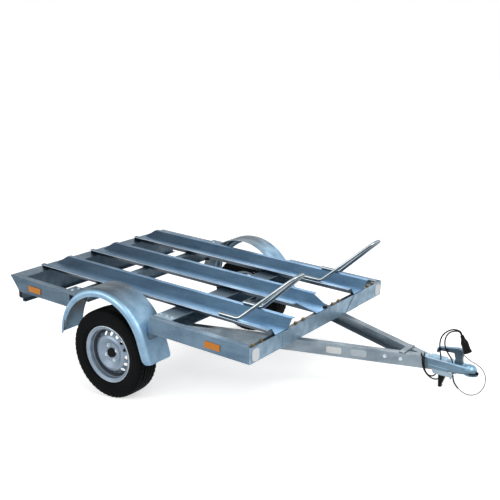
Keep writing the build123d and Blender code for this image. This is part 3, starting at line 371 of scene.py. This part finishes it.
def closedSkin(sections, wrap=False):
    # Sections (k, m, 3) are k closed rings of m points. Point (i, j) joins (i, j+1), (i+1, j+1) and (i+1, j);
    # the first and last rings close on their own middles, or on each other with wrap.
    k, m = sections.shape[:2]
    i = np.arange(k if wrap else k - 1)[:, None]
    j = np.arange(m)[None, :]
    j2, i2 = (j + 1) % m, (i + 1) % k
    quads = np.stack(np.broadcast_arrays(i * m + j, i * m + j2, i2 * m + j2, i2 * m + j), -1).reshape(-1, 4)
    points = sections.reshape(-1, 3)
    fans = np.empty((0, 3), int)
    if not wrap:
        points = np.vstack([points, sections[0].mean(0), sections[-1].mean(0)])
        j, j2 = j[0], j2[0]
        first = np.stack([np.full(m, k * m), j2, j], -1)
        last = np.stack([np.full(m, k * m + 1), (k - 1) * m + j, (k - 1) * m + j2], -1)
        fans = np.vstack([first, last])
    # Six times the enclosed volume is the sum of a . (b x c) over the triangles, with corners a, b and c
    # taken from the skin's middle. Where that is negative, the faces are turned round.
    tris = np.vstack([quads[:, [0, 1, 2]], quads[:, [0, 2, 3]], fans])
    a, b, c = (points[tris[:, n]] - points.mean(0) for n in range(3))
    if (a * np.cross(b, c)).sum() < 0:
        quads, fans = quads[:, ::-1], fans[:, ::-1]
    return points, quads, fans


def repeatAt(skin, places, normals):
    # One copy of a skin at each place: local z follows the normal, then local x and y complete the frame
    points, quads, fans = skin
    n = np.asarray(normals, float) * np.ones((len(places), 1))
    n /= np.linalg.norm(n, axis=1, keepdims=True)
    helper = np.where(np.abs(n[:, :1]) < 0.9, [[1.0, 0, 0]], [[0, 0, 1.0]])
    y = np.cross(n, helper)
    y /= np.linalg.norm(y, axis=1, keepdims=True)
    x = np.cross(y, n)
    spread = np.einsum("vk,nkc->nvc", points, np.stack([x, y, n], 1)) + np.asarray(places, float)[:, None]
    step = (np.arange(len(places)) * len(points))[:, None, None]
    return spread.reshape(-1, 3), (quads + step).reshape(-1, 4), (fans + step).reshape(-1, 3)


def joined(skins):
    # several skins in one
    steps = np.cumsum([0] + [len(s[0]) for s in skins[:-1]])
    return (np.vstack([s[0] for s in skins]), np.vstack([s[1] + n for s, n in zip(skins, steps)]),
            np.vstack([s[2] + n for s, n in zip(skins, steps)]))


smoothAngle = math.radians(40)  # edges sharper than this stay sharp


def newPiece(name, skin, material, body="chassis"):
    points, quads, fans = skin
    mesh = bpy.data.meshes.new(name)
    mesh.from_pydata(fromLevel(points).tolist(), [], quads.tolist() + fans.tolist())
    mesh.polygons.foreach_set("use_smooth", np.ones(len(mesh.polygons), bool))
    mesh.set_sharp_from_angle(angle=smoothAngle)
    mesh.materials.append(material)
    piece = bpy.data.objects.new(name, mesh)
    bpy.context.collection.objects.link(piece)
    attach(piece, body)
    return piece


def tube(path, radius, sides):
    # a circle carried along a path: each ring lies across the path's direction there
    path = np.asarray(path, float)
    along = np.gradient(path, axis=0)
    along /= np.linalg.norm(along, axis=1, keepdims=True)
    side = np.cross(along, [0.0, 1.0, 0.05])
    side /= np.linalg.norm(side, axis=1, keepdims=True)
    up = np.cross(side, along)
    turn = np.linspace(0, 2 * math.pi, sides, endpoint=False)[None, :, None]
    return closedSkin(path[:, None] + radius * (np.cos(turn) * side[:, None] + np.sin(turn) * up[:, None]))


wheel = {"beside": 738, "height": 289}  # the middle of each wheel, in level millimetres

# Road tyre. Radii and the distances from the tyre's middle plane are in pairs where they go together.
tyre = {"radius": 289.0, "halfTread": 62, "crownDrop": 2.5,
        "grooves": (-40.0, -14.0, 14.0, 40.0), "grooveHalf": 4.4, "grooveDepth": 7.0,
        "blocks": 52, "columns": 208, "blockDepth": 4.0, "blocksBeyond": 46, "blocksAbove": 276, "stagger": 2,
        "shoulderRadius": 286.5, "shoulderDrop": 17, "shoulderWidth": 14, "shoulderTurns": (25, 50, 75, 90),
        "wallRadii": (264, 260, 258, 256, 253, 251, 249, 244, 237, 229, 221, 218, 216, 214, 208, 204, 202,
                      200, 194, 186.2),
        "bulgeAt": (186, 198, 215, 236, 252, 269), "bulge": (66.5, 72, 76.2, 77.6, 77.3, 76), "widest": 77.9,
        "ridges": (258.0, 251.0, 216.0, 202.0), "ridgeWidth": 1.6, "ridgeHeight": 0.9,
        "bead": ((184.6, 65.0), (165.8, 53.6))}


def tyreSkin(sign):
    # The section runs over the tread, round the shoulders and down the sidewalls to the beads, and is
    # carried round the axle. Radius falls in the grooves and, on the shoulders, in every block gap.
    g, half, edge = np.array(tyre["grooves"]), tyre["grooveHalf"], tyre["halfTread"]
    lips = (-half, 1 - half, half - 1, half)
    across = np.sort(np.concatenate([np.linspace(-edge, edge, 11), *(g + d for d in lips)]))
    crown = tyre["radius"] - tyre["crownDrop"] * np.abs(across / edge) ** 3
    inGroove = np.clip(half - np.abs(across[:, None] - g), 0, 1).max(1)
    tread = np.stack([crown - tyre["grooveDepth"] * inGroove, across], -1)
    a = np.radians(tyre["shoulderTurns"])
    shoulder = np.stack([tyre["shoulderRadius"] - tyre["shoulderDrop"] * (1 - np.cos(a)),
                         edge + tyre["shoulderWidth"] * np.sin(a)], -1)
    wallRadius = np.array(tyre["wallRadii"])
    bulge = np.interp(wallRadius, tyre["bulgeAt"], tyre["bulge"])
    ridge = np.exp(-((wallRadius[:, None] - np.array(tyre["ridges"])) / tyre["ridgeWidth"]) ** 2).max(1)
    wall = np.stack([wallRadius, np.minimum(bulge + tyre["ridgeHeight"] * ridge, tyre["widest"])], -1)
    outer = np.vstack([shoulder, wall, tyre["bead"]])
    section = np.vstack([outer[::-1] * [1, -1], tread, outer])
    turn = np.linspace(0, 2 * math.pi, tyre["columns"], endpoint=False)
    gap = (np.arange(tyre["columns"]) % (tyre["columns"] // tyre["blocks"]) == 0).astype(float)
    r, y = section.T
    onShoulder = ((np.abs(y) > tyre["blocksBeyond"]) & (r > tyre["blocksAbove"])).astype(float)
    gaps = np.stack([gap, np.roll(gap, tyre["stagger"])])[np.where(y > 0, 0, 1)]  # the sides' gaps alternate
    radii = r[:, None] - tyre["blockDepth"] * onShoulder[:, None] * gaps
    beside = sign * wheel["beside"] + np.broadcast_to(y[:, None], radii.shape)
    sections = np.stack([radii * np.cos(turn), beside, wheel["height"] + radii * np.sin(turn)], -1)
    return closedSkin(sections, wrap=True)


for label, sign in (("left", 1), ("right", -1)):
    piece = newPiece(f"{label}TyreTread", tyreSkin(sign), finishes["tyre"], f"wheel_{label}")
    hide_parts(f"tyre_{label}")
print("tyres made")

# the outer face of a drawbar arm, which comes in by taper for each millimetre ahead of from
arm = {"from": 1060, "beside": 291.6, "taper": 0.3695, "outward": (0.3466, 0.938)}


def armPlace(ahead, height, sign):  # a point on that face
    return ahead, sign * (arm["beside"] - arm["taper"] * (ahead - arm["from"])), height


def armNormal(sign):
    return arm["outward"][0], sign * arm["outward"][1], 0


# Bolts: a washer and a six-sided head with a rounded top. Size is the head's width across its flats.
bolts = {
    "crossBolts": {"size": 19.0, "finish": yellowZinc, "slot": "zinc", "normal": (0, 0, 1),
                   "places": [(1046, y, 605.0) for y in (-733, -648, -290, -206, 140, 214, 600, 668)]},
    "bedBolts": {"size": 13.0, "finish": zinc["edge"], "slot": "galvanised", "normal": (0, 0, 1),
                 "places": [(x, s * y, z) for x, y, z in
                            ((395, 700, 605.0), (434, 700, 605.0), (340, 690, 605.0), (-371, 735, 608.3),
                             (-371, 680, 608.3)) for s in (-1, 1)]},
    "couplingBolts": {"size": 18.0, "finish": zinc["edge"], "slot": "zinc", "normal": (0, 0, 1),
                      "places": [(1792.0, 0.0, 509.3), (1905.0, 0.0, 509.3)]},
}
for label, sign in (("Right", -1), ("Left", 1)):
    bolts[f"drawbarBolts{label}"] = {
        "size": 15.0, "finish": zinc["edge"], "slot": "galvanised", "normal": armNormal(sign),
        "places": [armPlace(x, z, sign) for x, z in ((1554, 474), (1640, 470))]}


def boltSkin(size):
    # Twelve points to a ring: the washer's radius is even, the head's is size / (2 cos) of the angle within
    # each sixth, and height rises from ring to ring
    turn = np.linspace(0, 2 * math.pi, 12, endpoint=False)
    hexagon = size / 2 / np.cos((turn + math.pi / 6) % (math.pi / 3) - math.pi / 6)
    washer = np.full(12, size * 0.78)
    rings = [(washer, -0.5), (washer, 1.4), (washer * 0.96, 1.9), (hexagon, 1.9), (hexagon, size * 0.5),
             (hexagon * 0.88, size * 0.6)]
    return closedSkin(np.stack([np.stack([r * np.cos(turn), r * np.sin(turn), np.full(12, h)], -1)
                                for r, h in rings]))


for name, spec in bolts.items():
    skin = repeatAt(boltSkin(spec["size"]), spec["places"], spec["normal"])
    newPiece(name, skin, spec["finish"])

wheelBolts = {"count": 4, "ring": 50.0, "size": 17.0, "face": 30.0, "turned": 0.5}
for label, sign in (("left", 1), ("right", -1)):
    turn = np.linspace(0, 2 * math.pi, wheelBolts["count"], endpoint=False) + wheelBolts["turned"]
    places = np.stack([wheelBolts["ring"] * np.cos(turn),
                       np.full(len(turn), sign * (wheel["beside"] + wheelBolts["face"])),
                       wheel["height"] + wheelBolts["ring"] * np.sin(turn)], -1)
    skin = repeatAt(boltSkin(wheelBolts["size"]), places, (0, sign, 0))
    newPiece(f"{label}WheelBolts", skin, zinc["edge"], f"wheel_{label}")
print("bolts set")

# Beads along the hemmed edges of the rails' lips, made bright as a painted highlight
hems = {"bead": 2.4, "lipEdge": 135.4, "lipHeight": 655.6, "rear": -818.0,
        "rails": ((460, 1056.0), (0, 921.0), (-460, 1056.0))}  # each rail's middle and front end
runs = []
for centre, front in hems["rails"]:
    for s in (-1, 1):
        x = np.linspace(hems["rear"], front, 9)
        y = np.full(9, centre + s * hems["lipEdge"])
        runs.append(tube(np.stack([x, y, np.full(9, hems["lipHeight"])], -1), hems["bead"], 8))
newPiece("railHems", joined(runs), zinc["edge"])

# The hemmed edges of the guards, made bright as a painted highlight: start is where each begins at the
# rear, in degrees, and run is the length of its straight part
guard = {"ahead": -31, "height": 343, "skirtAngle": 20,
         "outer": {"radius": 321.0, "beside": 830.4, "start": 156.0, "run": 110.0, "bead": 2.6},
         "inner": {"radius": 365.4, "beside": 630.2, "start": 176.0, "run": 130.0, "bead": 1.6}}


def guardHem(sign, radius, beside, start, run, bead):
    # round the guard's centre from the rear down to the skirt, then straight along the skirt's edge
    turn = np.radians(np.linspace(start, guard["skirtAngle"], 48))
    arc = np.stack([guard["ahead"] + radius * np.cos(turn), np.full(48, sign * beside),
                    guard["height"] + radius * np.sin(turn)], -1)
    lean = math.radians(guard["skirtAngle"])
    skirt = arc[-1] + np.linspace(0, 1, 8)[1:, None] * np.array([math.sin(lean), 0, -math.cos(lean)]) * run
    return tube(np.vstack([arc, skirt]), bead, 8)


for label, sign in (("left", 1), ("right", -1)):
    skin = joined([guardHem(sign, **guard["outer"]), guardHem(sign, **guard["inner"])])
    newPiece(f"{label}GuardHem", skin, zinc["edge"])

stay = {"radius": 361.5, "width": 26.0, "thick": 4.0, "from": 176.0, "to": 118.0, "beside": 792.0}
flange = {"radius": 181.0, "bead": 3.4, "beside": 67.6}
for label, sign in (("left", 1), ("right", -1)):
    # a flat strip bent round inside the guard's rear: an oblong section carried along an arc
    turn = np.radians(np.linspace(stay["from"], stay["to"], 20))[:, None]
    r = stay["radius"] + np.array([0, stay["thick"], stay["thick"], 0])
    y = sign * (stay["beside"] + stay["width"] * np.array([-0.5, -0.5, 0.5, 0.5]))
    skin = closedSkin(np.stack([guard["ahead"] + r * np.cos(turn), np.broadcast_to(y, (20, 4)),
                                guard["height"] + r * np.sin(turn)], -1))
    newPiece(f"{label}GuardStay", skin, zinc["bracket"])
    # the rolled edge of the wheel's outer flange, made bright as a painted highlight: a circle carried round
    # the axle
    turn = np.linspace(0, 2 * math.pi, 96, endpoint=False)[:, None]
    ring = np.linspace(0, 2 * math.pi, 8, endpoint=False)
    r = flange["radius"] + flange["bead"] * np.cos(ring)
    y = sign * (wheel["beside"] + flange["beside"] + flange["bead"] * np.sin(ring))
    skin = closedSkin(np.stack([r * np.cos(turn), np.broadcast_to(y, (96, 8)),
                                wheel["height"] + r * np.sin(turn)], -1), wrap=True)
    newPiece(f"{label}RimEdge", skin, zinc["edge"], f"wheel_{label}")
print("hems laid")

# Blank labels on the right drawbar arm, and ovals at the bed's front corners
cornerOvals = {"size": (76.0, 66.0), "thickness": 5.8, "power": 3.0,
               "places": [(1060.1, -723.0, 552.0), (1060.1, 723.0, 552.0)]}
labels = {"whiteLabel": {"ahead": 1271.5, "height": 468.0, "size": (91.0, 41.0), "finish": blankLabel,
                         "slot": "white_reflector"},
          "typePlate": {"ahead": 1410.0, "height": 470.0, "size": (93.0, 41.0), "finish": blankPlate,
                        "slot": "zinc"}}


def plateSkin(size, thickness=0.9, power=8.0):
    # a thin plate whose outline is |x/a|^power + |y/b|^power = 1, so that a high power squares its corners
    turn = np.linspace(0, 2 * math.pi, 40, endpoint=False)
    c, s = np.cos(turn), np.sin(turn)
    grow = (np.abs(c) ** power + np.abs(s) ** power) ** (-1 / power)
    outline = np.stack([c * grow * size[0] / 2, s * grow * size[1] / 2], -1)
    rings = ((1.0, -0.2), (1.0, thickness * 0.7), (0.985, thickness), (0.5, thickness))
    return closedSkin(np.stack([np.column_stack([outline * k, np.full(40, h)]) for k, h in rings]))


for name, spec in labels.items():
    skin = repeatAt(plateSkin(spec["size"]), [armPlace(spec["ahead"], spec["height"], -1)], armNormal(-1))
    newPiece(name, skin, spec["finish"])
skin = plateSkin(cornerOvals["size"], cornerOvals["thickness"], cornerOvals["power"])
piece = newPiece("cornerOvals", repeatAt(skin, cornerOvals["places"], (1, 0, 0)), finishes["white_reflector"])
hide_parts("front_reflectors")
print("labels left blank")

# Black rubber: buffers below the rails and a cap at the centre rail's front. Sizes are halves.
rubber = {"buffers": [(306, -56, 597), (-165, 402, 597), (-376, -45, 597)], "bufferSize": (14.0, 14.0, 9.0),
          "cap": (1046, 48, 612), "capSize": (12.0, 16.0, 10.0)}


def roundedBlock(size):
    # a squared ball: each coordinate is its half size times a sine or cosine raised to a power below one
    up = np.radians(np.linspace(-80, 80, 7))
    turn = np.linspace(0, 2 * math.pi, 16, endpoint=False)

    def soften(v):
        return np.sign(v) * np.abs(v) ** 0.6

    ring = soften(np.cos(up))[:, None]
    return closedSkin(np.stack([size[0] * ring * soften(np.cos(turn)), size[1] * ring * soften(np.sin(turn)),
                                np.broadcast_to(size[2] * soften(np.sin(up))[:, None], (7, 16))], -1))


buffers = repeatAt(roundedBlock(rubber["bufferSize"]), rubber["buffers"], (0, 0, 1))
cap = repeatAt(roundedBlock(rubber["capSize"]), [rubber["cap"]], (0, 0, 1))
newPiece("railBuffers", joined([buffers, cap]), finishes["black"])

# the tie on the lever
cableTie = {"centre": (1849.0, -3.0, 564.0), "half": (20.5, 9.5), "band": (5.0, 2.0)}


def bandSkin(spec):
    # a flat oblong section carried round an ellipse that stands across the lever
    turn = np.linspace(0, 2 * math.pi, 28, endpoint=False)
    wide, thick = spec["band"]
    corners = np.array([(-wide / 2, 0), (wide / 2, 0), (wide / 2, thick), (-wide / 2, thick)])
    a, b = spec["half"]
    ring = np.stack([np.broadcast_to(corners[:, 0], (28, 4)), (a + corners[:, 1]) * np.cos(turn)[:, None],
                     (b + corners[:, 1]) * np.sin(turn)[:, None]], -1)
    return closedSkin(ring + np.array(spec["centre"]), wrap=True)


newPiece("cableTie", bandSkin(cableTie), finishes["black"])

# painted highlight: bright beads along the folded top edges of the coupling's channel
fold = {"rear": 1770.0, "front": 1915.0, "beside": 35.2, "height": 507.4, "bead": 1.9}
x = np.linspace(fold["rear"], fold["front"], 6)
runs = [tube(np.stack([x, np.full(6, s * fold["beside"]), np.full(6, fold["height"])], -1), fold["bead"], 8)
        for s in (-1, 1)]
newPiece("couplingFolds", joined(runs), zinc["edge"])
print("rubber, tie and folds fitted")

# Cords, along the same points as the tubes that the frame holds; diameters are in millimetres too
cables = {
    "cable_a": {"points": [(1736, -10, 511), (1752, -34, 515), (1762, -48, 500), (1766, -50, 472),
                           (1774, -48, 439), (1792, -43, 409), (1819, -33, 386), (1848, -26, 381),
                           (1873, -22, 398), (1888, -20, 426), (1886, -20, 456), (1872, -18, 478),
                           (1861, -16, 498), (1861, -16, 524), (1851, -18.5, 567), (1846, -18.5, 604),
                           (1851, -17, 644), (1874, -14, 679), (1908, -11, 702), (1940, -9, 706),
                           (1960, -8.6, 699), (1968.87, -8.7, 682.27)],
                "diameter": 8.0, "slot": "black"},
    "cable_b": {"points": [(1752, 4, 511), (1760, -20, 514), (1770, -44, 512), (1776, -54, 492),
                           (1779, -55, 460), (1789, -53, 427), (1808, -48, 405), (1829, -37, 400),
                           (1843, -25, 412), (1849, -21, 432), (1858, -11, 451), (1878, -6, 466),
                           (1906, -8, 470), (1929, -16, 482), (1935, -19, 504), (1929, -20, 529),
                           (1907, -21, 552), (1886, -21, 580), (1876, -21, 614), (1878, -20, 650),
                           (1894, -19, 680), (1919, -18, 696), (1944, -17.6, 703), (1960, -17.4, 699),
                           (1968.87, -17.3, 682.27)],
                "diameter": 8.0, "slot": "black"},
    "breakaway_wire": {"points": [(1941.5, -12.5, 431.7), (1951, -28, 408), (1982, -52, 389),
                                  (2028, -80, 377), (2082, -98, 378), (2130, -98, 402), (2156, -84, 448),
                                  (2150, -60, 494), (2120, -36, 524), (2079, -16, 535), (2038, -6, 540),
                                  (2010, -2, 552), (1987.1, 0, 564)],
                       "diameter": 5.0, "slot": "wire"},
}


def splinePoints(curve):
    # the points along the bare curve, read from a copy with no thickness
    bare = curve.copy()
    bare.bevel_depth = 0
    measure = bpy.data.objects.new("measure", bare)
    mesh = bpy.data.meshes.new_from_object(measure)
    points = np.empty(len(mesh.vertices) * 3)
    mesh.vertices.foreach_get("co", points)
    bpy.data.objects.remove(measure)
    bpy.data.meshes.remove(mesh)
    bpy.data.curves.remove(bare)
    return points.reshape(-1, 3)


def makeCord(name, spec):
    points = fromLevel(spec["points"])
    curve = bpy.data.curves.new(name + "Cord", "CURVE")
    curve.dimensions = "3D"
    curve.resolution_u = 12
    spline = curve.splines.new("NURBS")
    spline.points.add(len(points) - 1)
    spline.points.foreach_set("co", np.hstack([points, np.ones((len(points), 1))]).ravel())
    spline.order_u = 3
    spline.use_endpoint_u = True
    curve.bevel_depth = spec["diameter"] / 2000
    curve.bevel_resolution = 5
    curve.use_fill_caps = True
    curve.materials.append(finishes[spec["slot"]])
    cord = bpy.data.objects.new(name + "Cord", curve)
    bpy.context.collection.objects.link(cord)
    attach(cord, "chassis")
    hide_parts(name)
    return cord, points


# a black sleeve over the first points of the wire's own spline
sleeve = {"radius": 4.2, "sides": 12, "points": 25}
for name, spec in cables.items():
    cord, points = makeCord(name, spec)
    along = splinePoints(cord.data)
    isWire = name == "breakaway_wire"
    if isWire:
        skin = tube(toLevel(along[:sleeve["points"]]), sleeve["radius"], sleeve["sides"])
        follows = newPiece("wireSleeve", skin, finishes["black"])
    else:
        follows = frame["nodes"]["plug"]

studio = {"floorColour": (0.80, 0.80, 0.80), "floorGlow": 0.62, "floorHalf": 60, "worldLight": 0.5, "lamps": {
    "key": {"place": (3.2, -2.2, 4.2), "target": (0.2, 0, 0.4), "size": (3.0, 3.0), "power": 110},
    "fill": {"place": (-2.5, -4.5, 2.4), "target": (0, 0, 0.4), "size": (3.0, 2.0), "power": 35},
    "rim": {"place": (-1.0, 4.0, 3.4), "target": (0, 0, 0.4), "size": (4.0, 2.0), "power": 45}}}


def shownRays(tree):
    # 1 for the rays by which the background is seen: directly, in metal or through glass.
    path = addNode(tree, "ShaderNodeLightPath")
    direct = mathResult(tree, "MAXIMUM", path.outputs["Is Camera Ray"], path.outputs["Is Glossy Ray"])
    return mathResult(tree, "MAXIMUM", direct, path.outputs["Is Transmission Ray"])


def makeFloor():
    material, tree, shader = newMaterial("studioFloor", Roughness=0.9)
    shader.inputs["Base Color"].default_value = (*studio["floorColour"], 1)
    shader.inputs["Emission Color"].default_value = (1, 1, 1, 1)
    glow = addNode(tree, "ShaderNodeMapRange", Value=shownRays(tree), To_Max=studio["floorGlow"])
    tree.links.new(glow.outputs[0], shader.inputs["Emission Strength"])
    mesh = bpy.data.meshes.new("floor")
    corners = studio["floorHalf"] * np.array([(-1, -1, 0), (1, -1, 0), (1, 1, 0), (-1, 1, 0)], float)
    mesh.from_pydata(corners.tolist(), [], [(0, 1, 2, 3)])
    mesh.materials.append(material)
    floor = bpy.data.objects.new("floor", mesh)
    bpy.context.collection.objects.link(floor)


def makeWorld():
    # white where the camera, metal or glass sees it, softer as a light
    world = bpy.data.worlds.new("studio")
    bpy.context.scene.world = world
    world.use_nodes = True
    tree = world.node_tree
    background = tree.nodes["Background"]
    background.inputs["Color"].default_value = (1, 1, 1, 1)
    strength = addNode(tree, "ShaderNodeMapRange", Value=shownRays(tree), To_Min=studio["worldLight"])
    tree.links.new(strength.outputs[0], background.inputs["Strength"])


def addLamp(name, place, target, size, power):
    lamp = bpy.data.lights.new(name, "AREA")
    lamp.shape = "RECTANGLE"
    lamp.size, lamp.size_y = size
    lamp.energy = power
    lampObject = bpy.data.objects.new(name, lamp)
    bpy.context.collection.objects.link(lampObject)
    lampObject.location = place
    lampObject.rotation_euler = (Vector(target) - Vector(place)).to_track_quat("-Z", "Y").to_euler()


makeFloor()
makeWorld()
for name, spec in studio["lamps"].items():
    addLamp(name, **spec)
print("studio lit")

bpy.context.view_layer.update()
